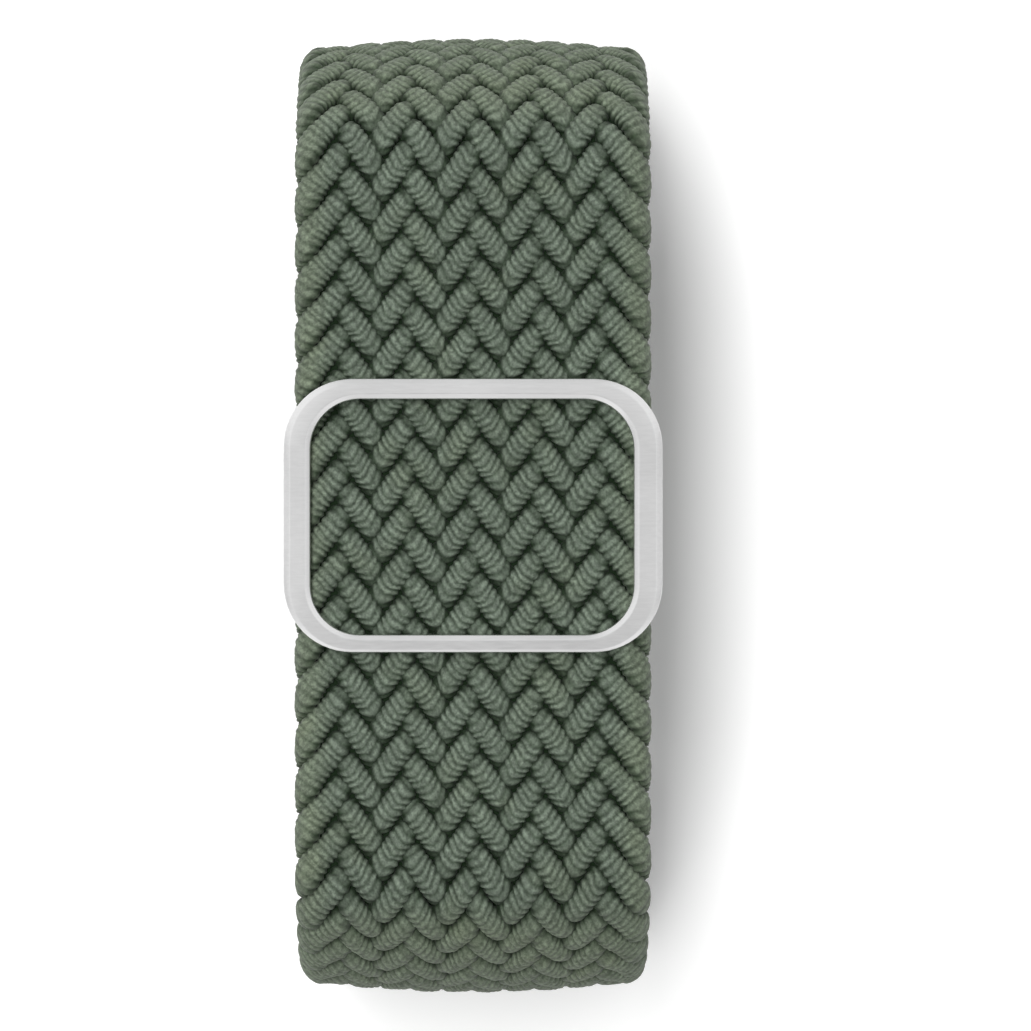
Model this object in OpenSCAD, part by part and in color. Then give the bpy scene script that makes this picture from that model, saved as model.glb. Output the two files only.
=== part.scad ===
// Braided elastic watch strap with a rectangular slide buckle and two quick-release end links.
// The loop stands on its two ends with the buckle on top: X across the band, Y along it, Z up.

/* [Band] */
// Width of the braided band
band_w = 22; // [18:0.5:22]
// Thickness of the braided band
band_t = 2.8; // [2.2:0.1:3]
// Length of the tail that is stitched to the band above the fixed link
anchor_tail = 10; // [7:0.5:12]
// Gap between two layers of the band that lie on each other
layer_gap = 0.15; // [0.1:0.05:0.3]
// Thickness of the pressed end that wraps round the slider bar
pressed_t = 0.9; // [0.7:0.05:1.1]
// How far each edge of the pressed end stays inside the band's edge
pressed_inset = 0.7; // [0.6:0.1:3]
// Length of the pressed tail under the band, from the slider bar
pressed_tail = 9.6; // [8.5:0.1:10.5]
// Distance from the slider bar to the stretch that gives as the slider moves
end_reach = 9.5; // [8.5:0.1:12]
// Length of the thick band that belongs to the folded end
end_block = 1.5; // [1:0.1:2]

/* [Loop] */
// Length of the loop over the band's outer faces
loop_l = 62; // [58:0.25:70]
// Height of the band's outer face above the table
loop_h = 44; // [40:0.5:52]
// Radius left inside the layers where they bend at each end of the flat front
shoulder_r = 0.65; // [0.5:0.05:3]
// Angle of the bend at each end of the flat front
shoulder_angle = 48; // [40:1:60]
// Outer radius of the loop's bowed sides
side_r = 17.5; // [15:0.25:20]

/* [Slider] */
// Length of the slider along the band
slider_l = 17; // [15:0.25:19]
// Width of the rim beside the window
rim_side = 1.65; // [1.3:0.05:2]
// Width of the rim at each end of the window
rim_end = 1.12; // [0.9:0.02:1.6]
// Thickness of the rim
rim_t = 1.2; // [0.9:0.05:1.6]
// Radius of the rim's outer corners
rim_corner_r = 4.25; // [3:0.05:5]
// Radius of the window's corners
window_corner_r = 3.1; // [1.5:0.1:4]
// Bevel along the rim's inner and outer edges
rim_bevel = 0.3; // [0.15:0.05:0.4]
// Thickness of the slider's side cheeks
cheek_t = 0.6; // [0.5:0.02:0.9]
// Length of a cheek where it meets the rim
cheek_l = 8.6; // [6:0.2:9.2]
// Diameter of the slider's cross bar
slider_bar_d = 1.4; // [1.2:0.05:1.6]
// Diameter of the round boss that holds the cross bar's end
cheek_boss_d = 2.8; // [2.4:0.1:3.2]
// Gap between the band's edge and a cheek
edge_gap = 0.12; // [0.1:0.01:0.3]
// Gap between the band's face and the rim
face_gap = 0.1; // [0.08:0.01:0.2]

/* [End links] */
// How much wider than the band the gap between the watch lugs is
lug_extra = 0; // [0:0.5:2]
// Length of the link's wide plate, between the band and the room for a lug
plate_l = 1.2; // [1.1:0.1:3.6]
// Diameter of the pin that the band turns round
link_pin_d = 1.8; // [1.5:0.05:2]
// Thickness of the link's plate
link_t = 2.4; // [2:0.1:2.8]
// Diameter of the barrel and of the pin eyes
barrel_d = 3.4; // [3.1:0.1:3.8]
// Thickness of each arm beside the band
link_arm = 0.8; // [0.7:0.05:1.5]
// Gap between the band's edge and an arm
arm_gap = 0.15; // [0.1:0.01:0.3]
// Radius round the spring bar that is left free for a watch lug
lug_room = 3.2; // [3:0.1:3.3]

/* [Spring bars] */
// Outer diameter of the spring bar's tube
tube_d = 1.8; // [1.7:0.05:1.9]
// Bore of the tube
tube_bore = 1.2; // [1.16:0.01:1.26]
// Diameter of the tips that enter the lugs
tip_d = 0.9; // [0.8:0.02:0.92]
// How far a tip reaches into a lug
tip_reach = 1.1; // [0.9:0.05:1.3]
// Travel of a tip when it is pushed in
tip_travel = 1.5; // [1.2:0.1:1.8]
// Diameter of the release knob's head
knob_d = 1.4; // [1.1:0.05:1.6]
// Height of the release knob above the barrel
knob_h = 0.9; // [0.6:0.05:1.2]
// Distance from the middle of the bar to the knob
knob_x = 6; // [5:0.1:6.5]
// Diameter of the spring's wire
wire_d = 0.2; // [0.16:0.01:0.22]
// Number of turns of the spring
spring_turns = 18; // [14:1:20]

/* [Stitching] */
// Diameter of the sewing thread
thread_d = 0.35; // [0.3:0.05:0.5]
// Length of one stitch
stitch_l = 1.5; // [1.2:0.1:1.7]
// Distance between the starts of two stitches
stitch_pitch = 2.1; // [2:0.1:2.6]
// Distance between two rows of stitches
row_pitch = 2.4; // [1.4:0.1:2.8]

/* [Hidden] */
$fn = 48;

// Colours as the photograph shows them
braid_green = [0.36, 0.42, 0.36];
thread_green = [0.27, 0.32, 0.27];
satin_silver = [0.82, 0.82, 0.82];
bright_steel = [0.7, 0.71, 0.72];

// Fineness of the band's solids
arc_step = 9;
fold_step = 18;
edge_steps = 6;
fine_radius = 5;

// Sides of the band's middle surface
side_y = loop_l / 2 - band_t / 2;
top_z = loop_h - band_t / 2;
layer_step = band_t + layer_gap;
shoulder_mid_r = shoulder_r + layer_step + band_t / 2;
side_mid_r = side_r - band_t / 2;
side_angle = 90 - shoulder_angle;
flat_y = side_y - shoulder_mid_r * sin(shoulder_angle) - side_mid_r * (1 - cos(side_angle));
side_z = top_z - shoulder_mid_r * (1 - cos(shoulder_angle)) - side_mid_r * sin(side_angle);

// Fold of the band round a link pin, which stands on the table
pin_gap = 0.1;
fold_r = link_pin_d / 2 + pin_gap + band_t / 2;
pin_y = side_y - fold_r;
pin_z = fold_r + band_t / 2;

// Swing from the fold's inner leg to the layer that lies on the band
swing_r = 5;
swing_shift = 2 * fold_r - layer_step;
swing_angle = acos(1 - swing_shift / (2 * swing_r));
swing_rise = 2 * swing_r * sin(swing_angle);
leg_lead = 0.5;
tail_top_z = pin_z + leg_lead + swing_rise + anchor_tail;

// Return layer on the inner side, and where its pieces meet
return_z = top_z - layer_step;
return_lead = 0.75;
stretch_y = flat_y - return_lead;

// Slider bar, wrapped by the pressed end just under the band
bar_gap = 0.05;
pressed_w = band_w - 2 * pressed_inset;
slider_bar_z = loop_h - band_t - bar_gap - pressed_t - bar_gap - slider_bar_d / 2;
wrap_r = slider_bar_d / 2 + bar_gap + pressed_t / 2;

// Pressed end: from the slider bar it runs back under the band, where it is sewn
tail_z = return_z - band_t / 2 - 2 * bar_gap - pressed_t / 2;
tail_drop = slider_bar_z - wrap_r - tail_z;
tail_swing_r = 3;
tail_swing = acos(1 - tail_drop / (2 * tail_swing_r));
tail_lead = 0.4;
press_lead = 0.6;

// Rows of sewing, and how far they stay inside the sewn end
anchor_rows = 3;
slider_rows = 2;
stitch_inset = 1.2;
seam_margin = 0.5;

// Slider: the rim lies on the band, and a cheek at each side holds the cross bar
cheek_inset = 0.05;
cheek_sink = 0.2;
cheek_skirt = 1.6;
slider_w = band_w + 2 * (edge_gap + cheek_t + cheek_inset);
rim_z = loop_h + face_gap;
window_w = slider_w - 2 * rim_side;
window_l = slider_l - 2 * rim_end;

// End links, which lie with their barrels on the table
slot_w = band_w + 2 * arm_gap;
link_w = slot_w + 2 * link_arm;
lug_gap = band_w + lug_extra;
lug_play = 0.1;
barrel_w = lug_gap - 2 * lug_play;
bar_play = 0.05;
bar_bore = tube_d + 2 * bar_play;
bridge_gap = 0.3;
bridge_y = fold_r + band_t / 2 + bridge_gap;
plate_end_y = bridge_y + plate_l;
link_reach = plate_end_y + lug_room;
link_tilt = asin((pin_z - barrel_d / 2) / link_reach);
plate_corner_r = 0.5;

// Overlap of two shapes that are made as one solid, and how far a cut runs past a solid
weld = 0.1;
cut_over = 1;

// Spring bar, along X with the release knob towards +X
tube_proud = 0.05;
tube_l = barrel_w + 2 * tube_proud;
tube_end = 0.55;
collar_gap = 0.05;
collar_d = tube_bore - 2 * collar_gap;
neck_step = 0.03;
neck_d = tip_d + 2 * neck_step;
neck_gap = 0.03;
hole_d = neck_d + 2 * neck_gap;
neck_proud = 0.03;
tip_start = tube_l / 2 + neck_proud;
tip_end = lug_gap / 2 + tip_reach;
tip_chamfer = 0.2;
collar_l = 1;
collar_end = tube_l / 2 - tube_end;
guide_d = 0.5;
guide_l = 1.4;

// Release knob on a stem that stands in the rod of its tip
rod_lead = 1.1;
rod_in = knob_x - rod_lead;
stem_root_d = 0.6;
stem_d = 0.9;
stem_gap = 0.05;
slot_room = 0.12;
slot_step = 0.05;
knob_gap = 0.1;
knob_bevel = 0.15;

// Spring between the two tips
spring_gap = 0.07;
spring_mid_r = tube_bore / 2 - spring_gap - wire_d / 2;
spring_in = -(collar_end - collar_l) + wire_d / 2;
spring_out = rod_in - wire_d / 2;
spring_rings = 8;
spring_sides = 6;

// Paths lie in the YZ plane. A station is [y, z, heading], the heading in degrees from +Y towards +Z.
function ahead(s, d) = [s[0] + d * cos(s[2]), s[1] + d * sin(s[2]), s[2]];
function turned(s, r, a) =
    let (side = sign(a), h = s[2] + a)
    [
        s[0] - side * r * sin(s[2]) + side * r * sin(h),
        s[1] + side * r * cos(s[2]) - side * r * cos(h),
        h
    ];

// Steps are [length, 0] for a straight and [radius, angle] for a bend
function walk(s, steps, i = 0) =
    i == len(steps) ? [] :
    let (
        step = steps[i],
        fine = step[0] < fine_radius ? fold_step : arc_step,
        n = max(2, ceil(abs(step[1]) / fine)),
        part = step[1] == 0 ? [ahead(s, step[0])] : [for (k = [1:n]) turned(s, step[0], step[1] * k / n)]
    )
    concat(part, walk(part[len(part) - 1], steps, i + 1));

function path(s, steps) = concat([s], walk(s, steps));

// Section of a band with round edges, as points across its width and thickness
function band_section(w, t) = [
    for (side = [1, -1], k = [0:edge_steps])
    let (a = -90 + 180 * k / edge_steps)
    [side * (w / 2 - t / 2 + t / 2 * cos(a)), side * t / 2 * sin(a)]
];

function placed(s, p) = [p[0], s[0] - p[1] * sin(s[2]), s[1] + p[1] * cos(s[2])];

// Solid skin over a row of rings with the same number of points
module skin(rings) {
    m = len(rings[0]);
    last = (len(rings) - 1) * m;
    sides = [
        for (i = [0:len(rings) - 2], j = [0:m - 1])
        let (a = i * m + j, b = i * m + (j + 1) % m)
        each [[a, a + m, b + m], [a, b + m, b]]
    ];
    caps = concat(
        [for (j = [1:m - 2]) [0, j, j + 1]],
        [for (j = [1:m - 2]) [last, last + j + 1, last + j]]
    );
    polyhedron(points = [for (ring = rings) each ring], faces = concat(sides, caps));
}

module strip(stations, w, t) {
    section = band_section(w, t);
    skin([for (s = stations) [for (p = section) placed(s, p)]]);
}

// A strip whose stations carry their own width and thickness
module shaped_strip(stations) {
    skin([for (s = stations) [for (p = band_section(s[3], s[4])) placed(s, p)]]);
}

module braided_band() {
    rise = side_z - pin_z;
    loop = path([-side_y + layer_step, tail_top_z, -90], [
        [anchor_tail, 0],
        [swing_r, swing_angle], [swing_r, -swing_angle],
        [leg_lead, 0],
        [fold_r, -180],
        [rise, 0],
        [side_mid_r, -side_angle], [shoulder_mid_r, -shoulder_angle],
        [2 * flat_y, 0],
        [shoulder_mid_r, -shoulder_angle], [side_mid_r, -side_angle],
        [rise, 0],
        [fold_r, -180],
        [leg_lead, 0],
        [swing_r, -swing_angle], [swing_r, swing_angle],
        [rise - leg_lead - swing_rise, 0],
        [side_mid_r - layer_step, side_angle], [shoulder_mid_r - layer_step, shoulder_angle],
        [flat_y - stretch_y, 0]
    ]);
    color(braid_green) strip(loop, band_w, band_t);
}

module return_stretch() {
    color(braid_green)
    strip([[stretch_y, return_z, 180], [end_reach, return_z, 180]], band_w, band_t);
}

// The band's end: thick where it leaves the return layer, pressed thin round the slider bar
module folded_end() {
    thin_z = slider_bar_z + wrap_r;
    taper_y = end_reach - end_block;
    thin_y = wrap_r + press_lead;
    tail_run = path([0, slider_bar_z + wrap_r, 180], [
        [wrap_r, 180],
        [tail_lead, 0],
        [tail_swing_r, -tail_swing], [tail_swing_r, tail_swing],
        [pressed_tail - tail_lead - 2 * tail_swing_r * sin(tail_swing), 0]
    ]);
    color(braid_green) shaped_strip(concat(
        [
            [end_reach, return_z, 180, band_w, band_t],
            [taper_y, return_z, 180, band_w, band_t],
            [thin_y, thin_z, 180, pressed_w, pressed_t]
        ],
        [for (s = tail_run) [s[0], s[1], s[2], pressed_w, pressed_t]]
    ));
}

// Rows of stitches across the band, each a length of thread along X
module stitch_rows(rows, w) {
    n = floor((w - stitch_l) / stitch_pitch);
    for (row = [0:rows - 1], k = [0:n - 1])
        translate([(k - (n - 1) / 2) * stitch_pitch, 0, row * row_pitch])
            rotate([0, 90, 0]) cylinder(d = thread_d, h = stitch_l, center = true, $fn = 16);
}

module anchor_stitching() {
    face_y = -side_y + layer_step + band_t / 2 + thread_d / 2;
    color(thread_green)
    translate([0, face_y, tail_top_z - anchor_tail / 2 - row_pitch])
        stitch_rows(anchor_rows, band_w - band_t);
}

module slider_stitching() {
    face_z = tail_z - pressed_t / 2 - thread_d / 2;
    color(thread_green)
    translate([0, pressed_tail - stitch_inset, face_z]) rotate([90, 0, 0])
        stitch_rows(slider_rows, pressed_w - 2 * seam_margin);
}

module rounded_rect(w, l, r) {
    square([w - 2 * r, l], center = true);
    square([w, l - 2 * r], center = true);
    for (x = [-1, 1], y = [-1, 1])
        translate([x * (w / 2 - r), y * (l / 2 - r)]) circle(r = r);
}

module rim_slab(w, l, r, z, t) {
    translate([0, 0, z]) linear_extrude(t) rounded_rect(w, l, r, $fn = 40);
}

module rim() {
    lip = 0.02;
    difference() {
        hull() {
            rim_slab(slider_w, slider_l, rim_corner_r, rim_z, rim_t - rim_bevel);
            rim_slab(slider_w - 2 * rim_bevel, slider_l - 2 * rim_bevel, rim_corner_r - rim_bevel,
                rim_z + rim_t - lip, lip);
        }
        hull() {
            rim_slab(window_w, window_l, window_corner_r, rim_z - cut_over, rim_t + cut_over - rim_bevel);
            rim_slab(window_w + 2 * rim_bevel, window_l + 2 * rim_bevel, window_corner_r + rim_bevel,
                rim_z + rim_t, lip);
        }
    }
}

// A cheek hangs from the rim beside the band and holds one end of the cross bar
module cheek_outline() {
    top = rim_z + cheek_sink - slider_bar_z;
    polygon([
        [-cheek_l / 2, top], [-cheek_l / 2, top - cheek_skirt],
        [-cheek_boss_d / 2, 0], [cheek_boss_d / 2, 0],
        [cheek_l / 2, top - cheek_skirt], [cheek_l / 2, top]
    ]);
    circle(d = cheek_boss_d);
}

module slider_frame() {
    color(satin_silver) {
        difference() {
            union() {
                rim();
                for (side = [-1, 1])
                    translate([side * (slider_w / 2 - cheek_inset - cheek_t / 2), 0, slider_bar_z])
                        rotate([90, 0, 90]) linear_extrude(cheek_t, center = true) cheek_outline();
            }
            translate([0, 0, slider_bar_z]) rotate([0, 90, 0])
                cylinder(d = slider_bar_d, h = slider_w + 2 * cut_over, center = true);
        }
    }
}

module slider_bar() {
    color(bright_steel)
    translate([0, 0, slider_bar_z]) rotate([0, 90, 0])
        cylinder(d = slider_bar_d, h = slider_w - 2 * cheek_inset, center = true);
}

// Places a link's own frame: pin on X at the origin, barrel along +Y, wrist side up
module fixed_end() {
    translate([0, -pin_y, pin_z]) rotate([-link_tilt, 0, 0]) children();
}

module running_end() {
    rotate([0, 0, 180]) fixed_end() children();
}

module along_x(d, from, to) {
    translate([from, 0, 0]) rotate([0, 90, 0]) cylinder(d = d, h = to - from);
}

module link_plate(w, from, to) {
    translate([0, (from + to) / 2, -link_t / 2]) linear_extrude(link_t)
        rounded_rect(w, to - from, plate_corner_r);
}

module link_body() {
    color(satin_silver)
    difference() {
        union() {
            link_plate(link_w, bridge_y, plate_end_y);
            translate([-barrel_w / 2, bridge_y + plate_corner_r, -link_t / 2])
                cube([barrel_w, link_reach - bridge_y - plate_corner_r, link_t]);
            translate([0, link_reach, 0]) along_x(barrel_d, -barrel_w / 2, barrel_w / 2);
            for (side = [-1, 1]) {
                x = side * (slot_w + link_arm) / 2;
                translate([x - link_arm / 2, 0, 0]) along_x(barrel_d, 0, link_arm);
                translate([x - link_arm / 2, 0, -link_t / 2])
                    cube([link_arm, bridge_y + plate_corner_r, link_t]);
            }
        }
        along_x(link_pin_d, -link_w, link_w);
        translate([0, link_reach, 0]) along_x(bar_bore, -link_w, link_w);
        translate([0, link_reach, 0]) knob_slot(stem_d + 2 * (slot_room + slot_step), barrel_d);
    }
}

// Slot for the knob's stem, from the bar's axis out towards the wrist side
module knob_slot(w, h) {
    from = knob_x - tip_travel - stem_d / 2 - slot_room;
    to = knob_x + stem_d / 2 + slot_room;
    translate([from, -w / 2, 0]) cube([to - from, w, h]);
}

module link_pin() {
    color(bright_steel) along_x(link_pin_d, -link_w / 2, link_w / 2);
}

module bar_tube() {
    color(bright_steel)
    translate([0, link_reach, 0]) difference() {
        along_x(tube_d, -tube_l / 2, tube_l / 2);
        along_x(tube_bore, -collar_end, collar_end);
        along_x(hole_d, -tube_l, tube_l);
        knob_slot(stem_d + 2 * slot_room, tube_d);
    }
}

// The part of a tip from its collar outwards
module tip_nose(from) {
    along_x(collar_d, from, collar_end);
    translate([collar_end - weld, 0, 0]) rotate([0, 90, 0])
        cylinder(d1 = neck_d, d2 = tip_d, h = tip_start - collar_end + weld);
    along_x(tip_d, tip_start - weld, tip_end - tip_chamfer);
    translate([tip_end - tip_chamfer, 0, 0]) rotate([0, 90, 0])
        cylinder(d1 = tip_d, d2 = tip_d - tip_chamfer, h = tip_chamfer);
}

module bar_release_tip() {
    color(bright_steel)
    translate([0, link_reach, 0]) difference() {
        union() {
            tip_nose(rod_in);
            along_x(guide_d, rod_in - guide_l, rod_in + weld);
        }
        translate([knob_x, 0, -collar_d]) cylinder(d = stem_root_d, h = 2 * collar_d, $fn = 24);
    }
}

module bar_plain_tip() {
    color(bright_steel)
    translate([0, link_reach, 0]) mirror([1, 0, 0]) {
        tip_nose(collar_end - collar_l);
        along_x(guide_d, collar_end - collar_l - guide_l, collar_end - collar_l + weld);
    }
}

module bar_release_knob() {
    root = -collar_d / 4;
    stem_base = collar_d / 2 + stem_gap;
    head_base = barrel_d / 2 + knob_gap;
    head_top = barrel_d / 2 + knob_h;
    color(bright_steel)
    translate([knob_x, link_reach, 0]) {
        translate([0, 0, root]) cylinder(d = stem_root_d, h = stem_base + weld - root, $fn = 24);
        translate([0, 0, stem_base]) cylinder(d = stem_d, h = head_base + weld - stem_base, $fn = 32);
        translate([0, 0, head_base]) cylinder(d = knob_d, h = head_top - knob_bevel - head_base, $fn = 32);
        translate([0, 0, head_top - knob_bevel])
            cylinder(d1 = knob_d, d2 = knob_d - 2 * knob_bevel, h = knob_bevel, $fn = 32);
    }
}

// A round wire wound along X between the two tips
module bar_spring() {
    n = spring_turns * spring_rings;
    pitch = (spring_out - spring_in) / spring_turns;
    lean = atan2(pitch, 2 * PI * spring_mid_r);
    rings = [
        for (i = [0:n])
        let (a = 360 * i / spring_rings, x = spring_in + pitch * i / spring_rings)
        [
            for (j = [0:spring_sides - 1])
            let (
                b = 360 * j / spring_sides,
                out = wire_d / 2 * cos(b),
                side = wire_d / 2 * sin(b),
                r = spring_mid_r + out
            )
            [
                x + side * cos(lean),
                r * cos(a) + side * sin(lean) * sin(a),
                r * sin(a) - side * sin(lean) * cos(a)
            ]
        ]
    ];
    color(bright_steel) translate([0, link_reach, 0]) skin(rings);
}

braided_band();
return_stretch();
folded_end();
anchor_stitching();
slider_stitching();
slider_frame();
slider_bar();
fixed_end() link_body();  // fixed_link
fixed_end() link_pin();  // fixed_link_pin
fixed_end() bar_tube();  // fixed_bar_tube
fixed_end() bar_release_tip();  // fixed_bar_release_tip
fixed_end() bar_release_knob();  // fixed_bar_release_knob
fixed_end() bar_plain_tip();  // fixed_bar_plain_tip
fixed_end() bar_spring();  // fixed_bar_spring
running_end() link_body();  // running_link
running_end() link_pin();  // running_link_pin
running_end() bar_tube();  // running_bar_tube
running_end() bar_release_tip();  // running_bar_release_tip
running_end() bar_release_knob();  // running_bar_release_knob
running_end() bar_plain_tip();  // running_bar_plain_tip
running_end() bar_spring();  // running_bar_spring
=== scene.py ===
"""Looks of a braided elastic watch strap with a slide buckle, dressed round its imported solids.

Lengths are in millimetres until a mesh is made, in the frame of the solids: X across the band, Y along it and
Z up. The camera looks straight down on the front.
"""

import math

import bpy
import numpy as np
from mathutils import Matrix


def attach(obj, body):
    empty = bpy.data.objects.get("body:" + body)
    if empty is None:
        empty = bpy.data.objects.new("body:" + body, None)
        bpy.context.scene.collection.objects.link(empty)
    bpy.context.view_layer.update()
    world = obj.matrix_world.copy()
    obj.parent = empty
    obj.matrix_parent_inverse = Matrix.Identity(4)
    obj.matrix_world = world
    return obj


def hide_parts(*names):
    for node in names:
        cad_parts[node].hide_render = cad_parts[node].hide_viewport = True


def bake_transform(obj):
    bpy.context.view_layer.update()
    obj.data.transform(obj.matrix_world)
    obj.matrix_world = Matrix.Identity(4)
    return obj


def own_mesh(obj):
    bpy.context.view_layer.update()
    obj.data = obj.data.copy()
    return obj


MM = 0.001

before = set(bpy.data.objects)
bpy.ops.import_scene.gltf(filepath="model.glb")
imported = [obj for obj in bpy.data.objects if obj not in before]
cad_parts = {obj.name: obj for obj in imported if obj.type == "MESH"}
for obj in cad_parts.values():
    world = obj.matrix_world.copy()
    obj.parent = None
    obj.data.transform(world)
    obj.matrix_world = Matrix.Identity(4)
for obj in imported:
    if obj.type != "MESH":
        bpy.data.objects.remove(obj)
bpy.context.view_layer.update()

# The loop, as the solids have it: bowed sides, shoulders, a flat front, and a fold round a pin at each end
BAND_W = 22.0
BAND_T = 2.8
SIDE_Y = 29.6
SIDE_Z = 30.1727
SIDE_R = 16.1
SHOULDER_R = 5.0
SHOULDER_ANGLE = 48.0
TOP_Z = 42.6
FLAT_Y = 21.7489
FOLD_R = 2.4
PIN_Z = 3.8
LAYER_STEP = 2.95
SWING_R = 5.0
SWING_ANGLE = 35.4126
SWING_RISE = 5.79461
LEG_LEAD = 0.5

# The fixed end's sewn tail, and the running end's return layer, which is pressed thin and wraps the cross bar
ANCHOR_TAIL = 10.0
TAIL_TOP_Z = 20.0946
STRETCH_Y = 20.9989
TAPER_Y = 8.0
THIN_Y = 1.8
BAR_Z = 39.5
BAR_D = 1.4
WRAP_R = 1.2
PRESSED_W = 20.6
PRESSED_T = 0.9
PRESSED_TAIL = 9.6
PRESSED_Z = 37.7
TAIL_SWING_R = 3.0
TAIL_SWING = 25.8419
TAIL_LEAD = 0.4
TIP_INSET = 0.02

# The braid: cords go from edge to edge, over two and under two. A step of a cord is a column across the band
# and a row along it, and a cycle takes it there and back.
CORDS = 21
COLUMN = 1.006
ROW = 1.41
CYCLE = 42
HALF_CYCLE = 21
MIDDLE_PHASE = 0.32
WEAVE_H = 0.7
WEAVE_FLAT = 2.4
FLOAT_LEAN = 0.15
EDGE_X = 10.5
EDGE_ROUND = 0.4
EDGE_BLEND = 1.6
EDGE_SPAN = 1.5
EDGE_WIDEN = 0.3
EDGE_WIDEN_SPAN = 0.9

# A cord and the ribs of its yarn, each a V across it with a round knee
CORD_W = 1.76
CORD_T = 1.4
CORD_POWER = 2.2
RIB_PITCH = 0.425
RIB_HEIGHT = 0.14
RIB_MIDDLE = 0.66
RIB_LEAN_UP = 0.40
RIB_LEAN_DOWN = 0.55
RIB_KNEE = 0.22
KNEE_ROUND = 0.3
STRAIGHT_STEPS = (1.6, 3.0)
EDGE_LEAN = 0.2


class Path:
    """A line of straights and bends in the YZ plane. A step is (length, 0) or (radius, angle in degrees)."""

    def __init__(self, start, steps):
        y, z, heading = start[0], start[1], math.radians(start[2])
        rows, along = [], 0.0
        for size, turn in steps:
            turn = math.radians(turn)
            length = abs(turn) * size if turn else size
            bend = turn / length if turn else 0.0
            rows.append((along, y, z, heading, bend))
            if bend:
                y += (math.sin(heading + turn) - math.sin(heading)) / bend
                z -= (math.cos(heading + turn) - math.cos(heading)) / bend
            else:
                y += length * math.cos(heading)
                z += length * math.sin(heading)
            heading += turn
            along += length
        self.rows = np.array(rows)
        self.length = along

    def at(self, v):
        """Y, Z and heading at each length along the line."""
        v = np.asarray(v, float)
        i = np.clip(np.searchsorted(self.rows[:, 0], v, side="right") - 1, 0, len(self.rows) - 1)
        start, y, z, heading, bend = np.moveaxis(self.rows[i], -1, 0)
        d = v - start
        h = heading + bend * d
        curved = bend != 0
        safe = np.where(curved, bend, 1.0)
        dy = np.where(curved, (np.sin(h) - np.sin(heading)) / safe, d * np.cos(heading))
        dz = np.where(curved, (np.cos(heading) - np.cos(h)) / safe, d * np.sin(heading))
        return y + dy, z + dz, h


SIDE_ANGLE = 90 - SHOULDER_ANGLE
RISE = SIDE_Z - PIN_Z
TAPER_RISE = BAR_Z + WRAP_R - (TOP_Z - LAYER_STEP)
TAPER_ANGLE = 2 * math.degrees(math.atan2(TAPER_RISE, TAPER_Y - THIN_Y))
TAPER_BEND = (TAPER_Y - THIN_Y) / (2 * math.sin(math.radians(TAPER_ANGLE)))
TAIL_RUN = PRESSED_TAIL - TAIL_LEAD - 2 * TAIL_SWING_R * math.sin(math.radians(TAIL_SWING))

LOOP_STEPS = [
    (ANCHOR_TAIL, 0),
    (SWING_R, SWING_ANGLE),
    (SWING_R, -SWING_ANGLE),
    (LEG_LEAD, 0),
    (FOLD_R, -180),
    (RISE, 0),
    (SIDE_R, -SIDE_ANGLE),
    (SHOULDER_R, -SHOULDER_ANGLE),
    (2 * FLAT_Y, 0),
    (SHOULDER_R, -SHOULDER_ANGLE),
    (SIDE_R, -SIDE_ANGLE),
    (RISE, 0),
    (FOLD_R, -180),
    (LEG_LEAD, 0),
    (SWING_R, -SWING_ANGLE),
    (SWING_R, SWING_ANGLE),
    (RISE - LEG_LEAD - SWING_RISE, 0),
    (SIDE_R - LAYER_STEP, SIDE_ANGLE),
    (SHOULDER_R - LAYER_STEP, SHOULDER_ANGLE),
    (FLAT_Y - STRETCH_Y, 0),
]
END_STEPS = [
    (STRETCH_Y - TAPER_Y, 0),
    (TAPER_BEND, -TAPER_ANGLE),
    (TAPER_BEND, TAPER_ANGLE),
    (THIN_Y, 0),
    (WRAP_R, 180),
    (TAIL_LEAD, 0),
    (TAIL_SWING_R, -TAIL_SWING),
    (TAIL_SWING_R, TAIL_SWING),
    (TAIL_RUN, 0),
]


def steps_length(steps):
    """Length of a line of straights and bends."""
    return sum(math.radians(abs(turn)) * size if turn else size for size, turn in steps)


band = Path((-SIDE_Y + LAYER_STEP, TAIL_TOP_Z, -90), LOOP_STEPS + END_STEPS)
LOOP_END = steps_length(LOOP_STEPS)
TAPER_FROM = LOOP_END + STRETCH_Y - TAPER_Y
TAPER_TO = TAPER_FROM + steps_length(END_STEPS[1:3])
BAND_END = band.length
MIDDLE = steps_length(LOOP_STEPS[:8]) + FLAT_Y
FIRST_ROW = (MIDDLE / ROW - MIDDLE_PHASE) % 2


def smooth(t):
    """A soft step from 0 to 1."""
    t = np.clip(t, 0, 1)
    return t * t * (3 - 2 * t)


def between(value, limits):
    """A soft step from 0 at the lower limit to 1 at the upper one."""
    return smooth((value - limits[0]) / (limits[1] - limits[0]))


def pressed(v):
    """How far the band is pressed thin at a length along it, from 0 to 1."""
    return between(v, (TAPER_FROM, TAPER_TO))


# At the loop's corners the band's edges curl inwards a little
CURL = 0.75
CURL_Y = (19.0, 27.0)
CURL_Z = (12.0, 28.0)
OUTER_FROM = steps_length(LOOP_STEPS[:5])
OUTER_TO = steps_length(LOOP_STEPS[:12])


def on_band(x, v, n):
    """Points across the band, along it and off its middle surface, as XYZ in metres."""
    thin = pressed(v)
    x = x * (1 + (PRESSED_W / BAND_W - 1) * thin)
    n = n * (1 + (PRESSED_T / BAND_T - 1) * thin)
    y, z, h = band.at(v)
    curl = between(np.abs(y), CURL_Y) * between(z, CURL_Z)
    outer = (v > OUTER_FROM) & (v < OUTER_TO)
    n = n + np.where(outer, -CURL, CURL) * curl * (2 * x / BAND_W) ** 2
    return np.stack([x, y - n * np.sin(h), z + n * np.cos(h)], axis=-1) * MM


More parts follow.
